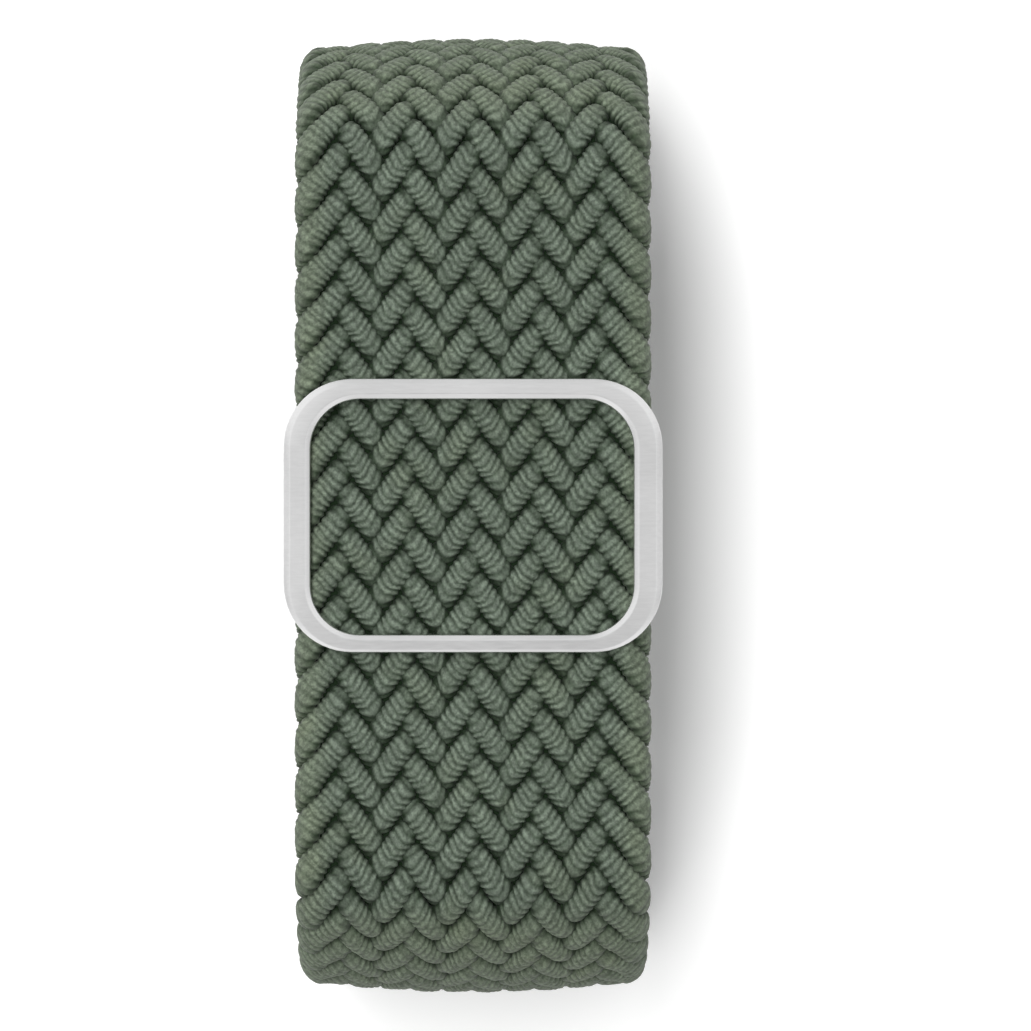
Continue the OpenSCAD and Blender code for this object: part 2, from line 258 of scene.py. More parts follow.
def in_scene(obj):
    """Puts an object into the scene."""
    bpy.context.scene.collection.objects.link(obj)
    return obj


def mesh_object(name, points, quads, material, attributes=None, extra=()):
    """An object from points, an array of quads, and a few more faces given as lists."""
    me = bpy.data.meshes.new(name)
    counts = [4] * len(quads) + [len(f) for f in extra]
    corners = np.concatenate([np.asarray(quads, np.int32).ravel()] + [np.asarray(f, np.int32) for f in extra])
    me.vertices.add(len(points))
    me.vertices.foreach_set("co", np.asarray(points, np.float32).ravel())
    me.loops.add(len(corners))
    me.loops.foreach_set("vertex_index", corners)
    me.polygons.add(len(counts))
    starts = np.concatenate([[0], np.cumsum(counts)[:-1]]).astype(np.int32)
    me.polygons.foreach_set("loop_start", starts)
    me.polygons.foreach_set("use_smooth", np.ones(len(counts), bool))
    me.update(calc_edges=True)
    me.validate()
    for key, values in (attributes or {}).items():
        layer = me.attributes.new(key, "FLOAT", "POINT")
        layer.data.foreach_set("value", np.asarray(values, np.float32).ravel())
    me.materials.append(material)
    return in_scene(bpy.data.objects.new(name, me))


def tube_faces(rings, sides):
    """Quads of a tube of rings with the same number of sides, and its two end faces."""
    i = np.arange(rings - 1)[:, None] * sides
    j = np.arange(sides)[None, :]
    k = (j + 1) % sides
    quads = np.stack([i + j, i + k, i + k + sides, i + j + sides], axis=-1).reshape(-1, 4)
    last = (rings - 1) * sides
    return quads, [list(range(sides))[::-1], [last + s for s in range(sides)]]


def turned_over(quads, caps):
    """The same faces with their other side out."""
    return quads[:, ::-1], [cap[::-1] for cap in caps]


def srgb(*levels):
    """A colour written as it shows, from 0 to 255, as linear values."""
    out = [c / 255 for c in levels]
    return tuple(c / 12.92 if c <= 0.04045 else ((c + 0.055) / 1.055) ** 2.4 for c in out) + (1.0,)


class Nodes:
    """Short words for building a node tree."""

    def __init__(self, tree):
        self.tree = tree
        tree.nodes.clear()

    def add(self, kind, **values):
        node = self.tree.nodes.new(kind)
        for key, value in values.items():
            setattr(node, key, value)
        return node

    def put(self, socket, value):
        """Links a socket, or sets a number or colour."""
        if isinstance(value, bpy.types.NodeSocket):
            self.tree.links.new(value, socket)
        else:
            socket.default_value = value

    def math(self, operation, a, b=0.0, clamp=False):
        node = self.add("ShaderNodeMath", operation=operation, use_clamp=clamp)
        self.put(node.inputs[0], a)
        self.put(node.inputs[1], b)
        return node.outputs[0]

    def mix(self, factor, a, b, blend="MIX"):
        node = self.add("ShaderNodeMix", data_type="RGBA", blend_type=blend)
        self.put(node.inputs["Factor"], factor)
        self.put(node.inputs["A"], a)
        self.put(node.inputs["B"], b)
        return node.outputs["Result"]

    def noise(self, vector, scale, detail=2.0, roughness=0.5):
        node = self.add("ShaderNodeTexNoise")
        self.put(node.inputs["Vector"], vector)
        node.inputs["Scale"].default_value = scale
        node.inputs["Detail"].default_value = detail
        node.inputs["Roughness"].default_value = roughness
        return node.outputs["Fac"]

    def spread(self, value, low, high, to_low=0.0, to_high=1.0):
        """A soft step from to_low to to_high while the value goes from low to high."""
        node = self.add("ShaderNodeMapRange", interpolation_type="SMOOTHSTEP")
        self.put(node.inputs["Value"], value)
        for key, number in (("From Min", low), ("From Max", high), ("To Min", to_low), ("To Max", to_high)):
            node.inputs[key].default_value = number
        return node.outputs["Result"]

    def attribute(self, name):
        return self.add("ShaderNodeAttribute", attribute_name=name).outputs["Fac"]

    def place(self, scale=(1.0, 1.0, 1.0)):
        """The point on the object, in metres times the scale."""
        node = self.add("ShaderNodeMapping")
        self.put(node.inputs["Vector"], self.add("ShaderNodeTexCoord").outputs["Object"])
        node.inputs["Scale"].default_value = scale
        return node.outputs["Vector"]

    def bump(self, height, distance, strength):
        node = self.add("ShaderNodeBump")
        self.put(node.inputs["Height"], height)
        node.inputs["Distance"].default_value = distance
        node.inputs["Strength"].default_value = strength
        return node.outputs["Normal"]

    def grey(self, level):
        node = self.add("ShaderNodeCombineColor")
        for i in range(3):
            self.put(node.inputs[i], level)
        return node.outputs[0]

    def split(self, vector):
        node = self.add("ShaderNodeSeparateXYZ")
        self.put(node.inputs[0], vector)
        return node.outputs

    def length(self, vector):
        node = self.add("ShaderNodeVectorMath", operation="LENGTH")
        self.put(node.inputs[0], vector)
        return node.outputs["Value"]

    def toward(self, vector, x, y, z):
        """How much a vector points to (x, y, z)."""
        node = self.add("ShaderNodeVectorMath", operation="DOT_PRODUCT")
        self.put(node.inputs[0], vector)
        node.inputs[1].default_value = (x, y, z)
        return node.outputs["Value"]


def surface(name, build):
    """A material whose Principled shader is filled in by build(nodes, shader)."""
    material = bpy.data.materials.new(name)
    material.use_nodes = True
    nodes = Nodes(material.node_tree)
    shader = nodes.add("ShaderNodeBsdfPrincipled")
    out = nodes.add("ShaderNodeOutputMaterial")
    material.node_tree.links.new(shader.outputs[0], out.inputs["Surface"])
    build(nodes, shader)
    return material


# Yarn: each noise is spread from its middle part over a range of shade or roughness
NOISE_MIDDLE = (0.3, 0.7)
PATCH_SCALE = 260.0
PATCH_PART = (0.5, 0.8)
PATCH_WARMTH = (0.0, 0.35)
EDGE_BEND_WARMTH = 0.5
FIBRE_SCALE = 5200.0
FIBRE_SHADE = (0.74, 1.2)
FIBRE_ROUGHNESS = (0.56, 0.72)
FIBRE_BUMP = 0.00003
MOTTLE_SCALE = 700.0
MOTTLE_SHADE = (0.92, 1.06)
RIB_NOISE_SCALE = 1.7
RIB_NOISE_PART = (0.28, 0.72)
RIB_NOISE_SHADE = (0.70, 1.24)
# Painted shade between ribs: the share of the yarn's colour, from a rib's valley to its crest
RIB_PAINTED_SHADE = (0.12, 1.0)


def nylon(light, warm, deep=None):
    """Nylon yarn, warmer in patches. A deep colour makes it ribbed, and is painted as shade between ribs and
    in cavities.
    """

    def build(nodes, shader):
        here = nodes.place()
        patches = nodes.spread(nodes.noise(here, PATCH_SCALE), *PATCH_PART, *PATCH_WARMTH)
        if deep:
            worn = nodes.math("MULTIPLY", nodes.attribute("worn"), EDGE_BEND_WARMTH)
            patches = nodes.math("ADD", patches, worn, clamp=True)
        fibres = nodes.noise(here, FIBRE_SCALE, 3.0, 0.65)
        colour = nodes.mix(patches, light, warm)
        mottle = nodes.spread(nodes.noise(here, MOTTLE_SCALE), *NOISE_MIDDLE, *MOTTLE_SHADE)
        shade = nodes.math("MULTIPLY", nodes.spread(fibres, *NOISE_MIDDLE, *FIBRE_SHADE), mottle)
        if deep:
            spot = nodes.add("ShaderNodeCombineXYZ")
            nodes.put(spot.inputs[0], nodes.attribute("along"))
            nodes.put(spot.inputs[1], nodes.attribute("around"))
            blobs = nodes.noise(spot.outputs[0], RIB_NOISE_SCALE, 2.0, 0.6)
            shade = nodes.math("MULTIPLY", shade, nodes.spread(blobs, *RIB_NOISE_PART, *RIB_NOISE_SHADE))
            # Painted shade: the colour goes towards the deep one in the valleys between ribs, in cavities and
            # round each stitch
            unshaded_share = nodes.spread(nodes.attribute("rib"), 0.0, 1.0, *RIB_PAINTED_SHADE)
            unshaded_share = nodes.math("MULTIPLY", unshaded_share, nodes.math("SUBTRACT", 1.0, nodes.attribute("cavity")))
            colour = nodes.mix(unshaded_share, deep, colour)
        nodes.put(shader.inputs["Base Color"], nodes.mix(1.0, colour, nodes.grey(shade), "MULTIPLY"))
        nodes.put(shader.inputs["Roughness"], nodes.spread(fibres, *NOISE_MIDDLE, *FIBRE_ROUGHNESS))
        shader.inputs["Specular IOR Level"].default_value = 0.2
        shader.inputs["Sheen Weight"].default_value = 0.04
        shader.inputs["Sheen Roughness"].default_value = 0.5
        nodes.put(shader.inputs["Normal"], nodes.bump(fibres, FIBRE_BUMP, 0.6))

    return build


# Metal: a fine grain, and broad clouds of tone
GRAIN_MIDDLE = (0.25, 0.75)
GRAIN_SHADE = (0.97, 1.03)
GRAIN_BUMP = 0.000004
CLOUD_SCALE = 140.0
CLOUD_SHADE = (0.95, 1.03)


def metal(tone, low, high, grain, streak=(1.0, 1.0, 1.0), anisotropy=0.0):
    """Steel with a fine grain: streak stretches the grain, low and high are the roughness on it."""

    def build(nodes, shader):
        fine = nodes.noise(nodes.place(streak), grain, 4.0, 0.6)
        clouds = nodes.spread(nodes.noise(nodes.place(), CLOUD_SCALE), *NOISE_MIDDLE, *CLOUD_SHADE)
        shade = nodes.math("MULTIPLY", nodes.spread(fine, *GRAIN_MIDDLE, *GRAIN_SHADE), clouds)
        nodes.put(shader.inputs["Base Color"], nodes.mix(1.0, tone, nodes.grey(shade), "MULTIPLY"))
        shader.inputs["Metallic"].default_value = 1.0
        shader.inputs["Anisotropic"].default_value = anisotropy
        nodes.put(shader.inputs["Roughness"], nodes.spread(fine, *GRAIN_MIDDLE, low, high))
        nodes.put(shader.inputs["Normal"], nodes.bump(fine, GRAIN_BUMP, 0.35))

    return build


# The braid's third colour is the painted shade between ribs, in cavities and round each stitch
braid_cloth = surface("braid_nylon", nylon(srgb(112, 123, 110), srgb(117, 127, 105), srgb(26, 41, 23)))
thread_cloth = surface("sewing_thread", nylon(srgb(84, 96, 84), srgb(90, 100, 80)))
satin = surface("satin_steel", metal(srgb(240, 240, 240), 0.3, 0.4, 900.0, (1.0, 8.0, 8.0), anisotropy=0.3))
link_steel = surface("link_steel", metal(srgb(206, 206, 207), 0.28, 0.38, 1200.0))
polished = surface("polished_steel", metal(srgb(186, 187, 189), 0.14, 0.22, 1600.0))
drawn = surface("drawn_steel", metal(srgb(172, 173, 174), 0.22, 0.32, 2400.0, (0.25, 1.0, 1.0)))


def core_cloth(nodes, shader):
    """The elastic between the cords, coloured dark as painted shade in the gaps between them."""
    grain = nodes.noise(nodes.place(), 3000.0, 3.0)
    nodes.put(shader.inputs["Base Color"], nodes.mix(grain, srgb(14, 28, 12), srgb(30, 44, 28)))
    shader.inputs["Roughness"].default_value = 0.9
    nodes.put(shader.inputs["Normal"], nodes.bump(grain, 0.00005, 0.6))


core_material = surface("elastic_core", core_cloth)


def fused_nylon(nodes, shader):
    """Nylon melted by the hot cut."""
    lumps = nodes.noise(nodes.place(), 900.0, 4.0, 0.6)
    nodes.put(shader.inputs["Base Color"], nodes.mix(lumps, srgb(44, 56, 40), srgb(88, 103, 80)))
    nodes.put(shader.inputs["Roughness"], nodes.spread(lumps, *NOISE_MIDDLE, 0.5, 0.75))
    shader.inputs["Specular IOR Level"].default_value = 0.25
    nodes.put(shader.inputs["Normal"], nodes.bump(lumps, 0.00012, 0.8))


fused_material = surface("fused_nylon", fused_nylon)


def weave(q):
    """Across the band and off its middle surface, for a cord at step q of its zigzag."""
    c = np.mod(q, CYCLE)
    left = np.minimum(c, CYCLE - c)
    right = np.abs(c - HALF_CYCLE)
    steps = np.minimum(left, right)
    near = COLUMN * (steps + FLOAT_LEAN / np.pi * (np.sin(np.pi * (steps - EDGE_SPAN)) - 1))
    excess = EDGE_X + EDGE_ROUND - COLUMN * (HALF_CYCLE / 2 - FLOAT_LEAN / np.pi)
    pull = excess * (1 - np.exp(-((near / EDGE_BLEND) ** 2)))
    reach = EDGE_X + EDGE_ROUND - np.sqrt(near**2 + EDGE_ROUND**2) - pull
    x = np.where(right < left, reach, -reach)
    from_left = np.where(c < HALF_CYCLE, c, c - CYCLE)
    run = np.where(c < HALF_CYCLE, c, c - HALF_CYCLE)
    wave = np.select(
        [right < EDGE_SPAN, left < EDGE_SPAN],
        [np.sin(np.pi * (c - HALF_CYCLE) / (2 * EDGE_SPAN)), np.sin(np.pi * from_left / (2 * EDGE_SPAN))],
        np.cos(np.pi * (run - EDGE_SPAN) / 2),
    )
    return x, WEAVE_H * np.tanh(WEAVE_FLAT * wave) / math.tanh(WEAVE_FLAT)


def facing(q):
    """Angle of the cord's thickness in the section of the band: up on one run, down on the other."""
    c = np.mod(q, CYCLE)
    from_right = (c - HALF_CYCLE) / (2 * EDGE_SPAN) + 0.5
    from_left = np.where(c < HALF_CYCLE, c, c - CYCLE) / (2 * EDGE_SPAN) + 0.5
    angle = np.where(c < HALF_CYCLE, 90.0, 270.0)
    angle = np.where(np.abs(from_right - 0.5) < 0.5, 90 + 180 * smooth(from_right), angle)
    angle = np.where(np.abs(from_left - 0.5) < 0.5, 270 - 180 * smooth(from_left), angle)
    return np.radians(angle)


def unit(a):
    """Vectors of length one."""
    return a / np.linalg.norm(a, axis=-1, keepdims=True)


# Length of a cord against its step, over the whole band
FINE_STEP = 0.02
FINE_MARGIN = 4
Q_FINE = np.arange(-2 * CORDS - FINE_MARGIN, BAND_END / ROW + FINE_MARGIN, FINE_STEP)
X_FINE, N_FINE = weave(Q_FINE)
LENGTHS = np.sqrt(np.diff(X_FINE) ** 2 + (ROW * np.diff(Q_FINE)) ** 2 + np.diff(N_FINE) ** 2)
S_FINE = np.concatenate([[0], np.cumsum(LENGTHS)])

# Sides of a cord: an edge of the mesh runs along the ribs' knee
KNEE_ANGLE = math.degrees(math.acos(RIB_KNEE ** (CORD_POWER / 2)))
HALF_ANGLES = [0, 20, 40, 60, KNEE_ANGLE, 95, 115, 135, 158]
SIDE_ANGLES = HALF_ANGLES + [180] + [360 - angle for angle in HALF_ANGLES[:0:-1]]
ANGLES = np.radians(SIDE_ANGLES)[None, :]
COSINES = np.cos(ANGLES)

# Ribs: how far each of a rib's rings is lifted, and how unevenly. At the band's edges and in its bends the
# yarn is warmer, and the painted shade between ribs and round stitches is weaker.
RIB_PROFILE = np.array([0.0, 0.5, 1.0, 0.86, 0.36])
RIB_RINGS = len(RIB_PROFILE)
RING_STEP = RIB_PITCH / RIB_RINGS
RIB_UPPER = 0.3
RIB_UNEVEN = 0.42
RIB_WANDER = 0.045
WANDER_SEED = 100
TANGENT_STEP = 0.05
CALM = 0.25
CALM_X = (8.4, 10.4)
CALM_Y = (23.5, 26.5)

# Painted shade: deep in the braid, and round each stitch, whose outline is a rounded and skewed rectangle
CAVITY_SHADE = 0.95
CAVITY_DEPTH = (0.4, 0.8)
RIM_SHADE = (0.72, 1.04)
STITCH_SKEW = 0.094
STITCH_REACH = 0.86
STITCH_SIDE = 0.93
STITCH_POWER = 3.5

# The yarn's noise is read apart on each cord
AROUND_SCALE = 2
AROUND_STEP = 9.0

# The cords stop short of the band's melted ends
END_ROOM = 0.9


def rib_strength(across):
    """Ribs stand out most at a stitch's lower side and blur in its middle, in their depth and in the painted
    shade between them.
    """
    return RIB_MIDDLE + (1 - RIB_MIDDLE) * across**2 * np.where(across > 0, 1.0, RIB_UPPER)


def rib_lead(across):
    """How far a rib leads along the cord, at each place across it: a rib is a V with a round knee."""
    off = across - RIB_KNEE
    knee = np.sqrt(off**2 + KNEE_ROUND**2) - KNEE_ROUND
    return ((RIB_LEAN_DOWN - RIB_LEAN_UP) * off + (RIB_LEAN_DOWN + RIB_LEAN_UP) * knee) * CORD_W / 4


def cord_axes(q):
    """Place of the cord's line across and off the band, and the directions of its width and thickness."""
    x, n = weave(q)
    x_after, n_after = weave(q + TANGENT_STEP)
    x_before, n_before = weave(q - TANGENT_STEP)
    forward = np.full_like(q, 2 * TANGENT_STEP * ROW)
    tangent = unit(np.stack([x_after - x_before, forward, n_after - n_before], axis=-1))
    angle = facing(q)
    up = np.stack([np.cos(angle), np.zeros_like(q), np.sin(angle)], axis=-1)
    side = unit(np.cross(tangent, up))
    return x, n, side, np.cross(side, tangent)


def stitch_rim(q, across):
    """0 in the middle of a stitch and 1 at its rim."""
    step_in = np.mod(q, HALF_CYCLE)
    on_stitch = np.mod(step_in - EDGE_SPAN + 1, 2) - 1 + STITCH_SKEW * across
    on_stitch = np.where((step_in < EDGE_SPAN) | (step_in > HALF_CYCLE - EDGE_SPAN), 0, on_stitch)
    ahead = np.abs(on_stitch / STITCH_REACH) ** STITCH_POWER
    aside = np.abs(STITCH_SIDE * across) ** STITCH_POWER
    return (ahead + aside) ** (1 / STITCH_POWER)


def cord_points(s, lift, wander, start):
    """Rings round the cord at lengths s, pushed out by lift and led by wander.

    Gives their points, how far out of the braid they lie, and how near a stitch's rim.
    """
    across = np.sign(np.cos(ANGLES)) * np.abs(np.cos(ANGLES)) ** (2 / CORD_POWER)
    through = np.sign(np.sin(ANGLES)) * np.abs(np.sin(ANGLES)) ** (2 / CORD_POWER)
    out = unit(np.stack([np.cos(ANGLES) / CORD_W, np.sin(ANGLES) / CORD_T], axis=-1))
    shrink = RIB_HEIGHT * (lift - 1) * rib_strength(across)
    c = np.mod(np.interp(s, S_FINE, Q_FINE), HALF_CYCLE)
    turn = np.minimum(c, HALF_CYCLE - c)
    widen = 1 + EDGE_WIDEN * np.exp(-((turn / EDGE_WIDEN_SPAN) ** 2))
    w = CORD_W / 2 * across * widen[:, None] + out[..., 0] * shrink
    u = CORD_T / 2 * through + out[..., 1] * shrink
    straight = EDGE_LEAN + (1 - EDGE_LEAN) * between(turn, STRAIGHT_STEPS)
    lead = rib_lead(across) * straight[:, None] + wander
    q = np.interp(s[:, None] + lead, S_FINE, Q_FINE)
    x, n, side, up = cord_axes(q)
    p = np.stack([x, ROW * q + start, n], axis=-1) + u[..., None] * up + w[..., None] * side
    flat_w, half_t = (BAND_W - BAND_T) / 2, BAND_T / 2
    depth = np.maximum(np.abs(p[..., 2]) / half_t, (np.abs(p[..., 0]) - flat_w) / half_t)
    return on_band(p[..., 0], p[..., 1], p[..., 2]), depth, stitch_rim(q, across)


def rib_rings(j, ring):
    """How far the rings of cord j are lifted and how far they wander, new for every rib and side."""
    ribs, sides = ring[-1] // RIB_RINGS, len(SIDE_ANGLES)
    uneven = np.random.default_rng(j).uniform(1 - RIB_UNEVEN, 1, (ribs + 1, sides))
    uneven = (uneven + np.roll(uneven, 1, 1)) / 2
    lift = RIB_PROFILE[ring % RIB_RINGS][:, None] * uneven[ring // RIB_RINGS]
    waves = np.random.default_rng(WANDER_SEED + j).normal(0, RIB_WANDER, (ribs + 2, sides))
    waves = (waves + np.roll(waves, 1, 1) + np.roll(waves, -1, 1)) / math.sqrt(3)
    part = (ring % RIB_RINGS / RIB_RINGS)[:, None]
    return lift, waves[ring // RIB_RINGS] * (1 - part) + waves[ring // RIB_RINGS + 1] * part


def cord_piece(name, j, v_from, v_to):
    """One cord of the braid, between two lengths along the band."""
    start = ROW * (2 * j + FIRST_ROW)
    s_low, s_high = np.interp([(v_from - start) / ROW, (v_to - start) / ROW], Q_FINE, S_FINE)
    first, last = math.ceil(s_low / RING_STEP), math.floor(s_high / RING_STEP)
    if v_to < BAND_END - END_ROOM:
        last += 1
    ring = np.arange(first, last + 1)
    lift, wander = rib_rings(j, ring)
    points, depth, rim = cord_points(ring * RING_STEP, lift, wander, start)
    off_x, off_y = np.abs(points[..., 0]) / MM, np.abs(points[..., 1]) / MM
    calm = np.maximum(between(off_x, CALM_X), between(off_y, CALM_Y))
    # Painted shade deep in the braid and round each stitch
    cavity = CAVITY_SHADE * np.maximum(1 - between(depth, CAVITY_DEPTH), between(rim, RIM_SHADE))
    values = {
        "rib": 1 - (1 - lift) * rib_strength(COSINES) * (1 - CALM * calm),
        "cavity": cavity * (1 - CALM / 2 * calm),
        "along": np.repeat(ring[:, None] / RIB_RINGS, len(SIDE_ANGLES), axis=1),
        "around": np.repeat(COSINES * AROUND_SCALE, len(ring), axis=0) + AROUND_STEP * j,
        "worn": calm,
    }
    quads, caps = turned_over(*tube_faces(len(ring), len(SIDE_ANGLES)))
    return mesh_object(name, points.reshape(-1, 3), quads, braid_cloth, values, caps)


STRIP_STEP = 0.5
STRIP_TURN = 30


def strip_piece(name, v_from, v_to, half_w, half_t, material):
    """A flat strip with round edges that follows the band's middle surface."""
    v = np.linspace(v_from, v_to, math.ceil((v_to - v_from) / STRIP_STEP) + 1)
    a = np.radians(np.arange(-90, 271, STRIP_TURN))
    half = len(a) // 2 + 1
    a = np.concatenate([a[:half], a[half - 1 :]])
    x = np.where(np.arange(len(a)) < half, half_w - half_t, half_t - half_w) + half_t * np.cos(a)
    x, v, n = np.broadcast_arrays(x[None], v[:, None], half_t * np.sin(a)[None])
    quads, caps = turned_over(*tube_faces(*x.shape))
    return mesh_object(name, on_band(x, v, n).reshape(-1, 3), quads, material, None, caps)


def give_way(piece):
    """Bakes the place of a piece of the return layer, which runs between the band and the slider, into its
    mesh.
    """
    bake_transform(piece)


for j in range(CORDS):
    piece = cord_piece(f"braid_cord_{j + 1:02d}", j, END_ROOM, LOOP_END)
    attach(piece, "band")
    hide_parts("braided_band")

    piece = cord_piece(f"return_cord_{j + 1:02d}", j, LOOP_END, BAND_END - END_ROOM)
    give_way(piece)
    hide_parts("return_stretch", "folded_end")

CORE_HALF_W = 9.9
CORE_HALF_T = 0.55
CORE_INSET = 0.3
core = strip_piece("band_core", CORE_INSET, LOOP_END, CORE_HALF_W, CORE_HALF_T, core_material)
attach(core, "band")
core = strip_piece("return_core", LOOP_END, BAND_END - CORE_INSET, CORE_HALF_W, CORE_HALF_T, core_material)
give_way(core)

# The band's two ends, melted by the hot cut
FUSED_L = 1.25
FUSED_RINGS = 9
FUSED_SIDES = 72
FUSED_SEED = 7
FUSED_WIDTH_POWER = 0.35
FUSED_DEPTH_POWER = 0.6
FUSED_DRAW = 0.35
FUSED_LEAST = 0.02
FUSED_THIN = 0.1
FUSED_LUMP = 0.06
FUSED_WAVE = 0.05


def fused_end(name, v_from, v_to):
    """The melted edge where the band was cut hot: the strip's section, lumpy and drawn in at its end."""
    t = np.linspace(0, 1, FUSED_RINGS)[:, None]
    a = np.linspace(0, 2 * math.pi, FUSED_SIDES, endpoint=False)[None, :]
    flat_w, half_t = (BAND_W - BAND_T) / 2, BAND_T / 2
    x = np.sign(np.cos(a)) * (np.abs(np.cos(a)) ** FUSED_WIDTH_POWER) * flat_w + half_t * np.cos(a)
    n = half_t * np.sign(np.sin(a)) * np.abs(np.sin(a)) ** FUSED_DEPTH_POWER
    lumps = np.random.default_rng(FUSED_SEED).uniform(-1, 1, (FUSED_RINGS, FUSED_SIDES))
    lumps = (lumps + np.roll(lumps, 1, 1) + np.roll(lumps, -1, 1)) / 3
    draw = np.sqrt(np.clip(1 - (2 * t - 1) ** 4, FUSED_LEAST, 1))
    x = x - np.sign(x) * (1 - draw) * FUSED_DRAW
    n = n * (1 - FUSED_THIN * (1 - draw)) * (draw + FUSED_LUMP * lumps)
    v = v_from + t * (v_to - v_from) + FUSED_WAVE * lumps
    quads, caps = tube_faces(FUSED_RINGS, FUSED_SIDES)
    if v_to > v_from:
        quads, caps = turned_over(quads, caps)
    return mesh_object(name, on_band(x, v, n).reshape(-1, 3), quads, fused_material, None, caps)


tail_edge = fused_end("tail_fused_edge", TIP_INSET, FUSED_L)
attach(tail_edge, "band")
pressed_edge = fused_end("pressed_fused_edge", BAND_END - TIP_INSET, BAND_END - FUSED_L)
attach(pressed_edge, "slider")

# Slider: a satin rim with bevelled edges, two cheeks and a riveted cross bar
SLIDER_W = 23.54
SLIDER_L = 17.0
WINDOW_W = 20.12
WINDOW_L = 14.66
WINDOW_SHIFT = (-0.06, -0.09)
RIM_R = 4.25
WINDOW_R = 3.1
RIM_LOW = 44.1
RIM_HIGH = 45.3
OUTER_BEVEL = 0.38
INNER_BEVEL = 0.32
BEVEL_SLOPE = 0.64
LOW_BEVEL = 0.6
FACE_LEAN = 0.09
RIM_SOFT = 0.06
CHEEK_T = 0.6
CHEEK_INSET = 0.05
CHEEK_L = 8.6
CHEEK_SKIRT = 1.6
CHEEK_SINK = 0.2
CHEEK_ROUND = 0.9
CHEEK_STEPS = 6
BOSS_R = 1.4
BOSS_STEP = 15
PLATE_ROUND = 0.12
ROUND_STEPS = 3
ROUND_SHARE = 0.45


def rounded(corners, radius, steps):
    """A closed outline with its corners rounded by steps + 1 points each, within a share of the sides."""
    out = []
    count = len(corners)
    for i, here in enumerate(corners):
        here = np.array(here, float)
        before = np.array(corners[i - 1], float) - here
        after = np.array(corners[(i + 1) % count], float) - here
        reach = min(radius, ROUND_SHARE * np.linalg.norm(before), ROUND_SHARE * np.linalg.norm(after))
        a, b = here + unit(before) * reach, here + unit(after) * reach
        for t in np.linspace(0, 1, steps + 1):
            out.append((1 - t) ** 2 * a + 2 * t * (1 - t) * here + t**2 * b)
    return np.array(out)


QUARTERS = ((1, 1), (-1, 1), (-1, -1), (1, -1))
ARC_STEPS = 14
EDGE_STEPS = 6


def frame_loop(w, l, r):
    """Points round a rectangle with round corners."""
    centres = [np.array([sx * (w / 2 - r), sy * (l / 2 - r)]) for sx, sy in QUARTERS]
    points = []
    for quarter, centre in enumerate(centres):
        for angle in np.radians(90 * quarter + np.linspace(0, 90, ARC_STEPS + 1)):
            spoke = r * np.array([math.cos(angle), math.sin(angle)])
            points.append(centre + spoke)
        last, following = points[-1], centres[(quarter + 1) % len(centres)] + spoke
        for t in np.linspace(0, 1, EDGE_STEPS + 1)[1:-1]:
            points.append(last * (1 - t) + following * t)
    return np.array(points)


def add_faces(store, points, quads, caps):
    """Gathers several closed shapes for one mesh."""
    base = sum(len(p) for p in store["points"])
    store["points"].append(points)
    store["quads"].append(np.asarray(quads) + base)
    store["caps"] += [[i + base for i in cap] for cap in caps]


def new_store():
    """An empty store for add_faces."""
    return {"points": [], "quads": [], "caps": []}


def stored_mesh(name, store, material, weighted=True):
    """One object from a store's shapes, in metres."""
    points, quads = np.concatenate(store["points"]) * MM, np.concatenate(store["quads"])
    obj = mesh_object(name, points, quads, material, None, store["caps"])
    if weighted:
        obj.modifiers.new("weighted", "WEIGHTED_NORMAL").keep_sharp = False
    return obj


def rim_shape(store):
    """The rim: a face that leans outwards between two bevels, the outer one narrower at the front."""
    outer = frame_loop(SLIDER_W, SLIDER_L, RIM_R)
    inner = frame_loop(WINDOW_W, WINDOW_L, WINDOW_R) + np.array(WINDOW_SHIFT)
    width = np.linalg.norm(outer - inner, axis=1)
    rows = []
    for o, i, gap in zip(outer, inner, width):
        across = (i - o) / gap
        bevel = OUTER_BEVEL * (1 - LOW_BEVEL * max(across[1], 0))
        edge = RIM_HIGH - FACE_LEAN
        corners = [
            (0.0, RIM_LOW + RIM_SOFT),
            (0.0, edge - BEVEL_SLOPE * bevel),
            (bevel, edge),
            (gap - INNER_BEVEL, RIM_HIGH),
            (gap, RIM_HIGH - BEVEL_SLOPE * INNER_BEVEL),
            (gap, RIM_LOW + RIM_SOFT),
            (gap - RIM_SOFT, RIM_LOW),
            (RIM_SOFT, RIM_LOW),
        ]
        shape = rounded(corners, RIM_SOFT, ROUND_STEPS)
        rows.append(np.column_stack([o[None, :] + across[None, :] * shape[:, :1], shape[:, 1]]))
    rows = np.array(rows)
    rings, sides = rows.shape[:2]
    i = np.arange(rings)[:, None]
    j = np.arange(sides)[None, :]
    here, there = i * sides, (i + 1) % rings * sides
    following = (j + 1) % sides
    quads = np.stack([here + j, there + j, there + following, here + following], axis=-1).reshape(-1, 4)
    add_faces(store, rows.reshape(-1, 3), quads, [])


def plate_shape(store, outline, x_from, x_to):
    """A plate in the YZ plane with rounded rims, from its outline as points round it."""
    outline = np.asarray(outline, float)
    ahead = np.roll(outline, -1, 0) - np.roll(outline, 1, 0)
    inward = unit(np.column_stack([-ahead[:, 1], ahead[:, 0]]))
    rings = []
    for face, sign, low, high in ((x_from, 1, 90, 0), (x_to, -1, 0, 90)):
        for angle in np.radians(np.linspace(low, high, ROUND_STEPS + 1)):
            inset = PLATE_ROUND * (1 - math.cos(angle))
            x = face + sign * PLATE_ROUND * (1 - math.sin(angle))
            rings.append(np.column_stack([np.full(len(outline), x), outline + inward * inset]))
    quads, caps = tube_faces(len(rings), len(outline))
    add_faces(store, np.concatenate(rings), quads, caps)


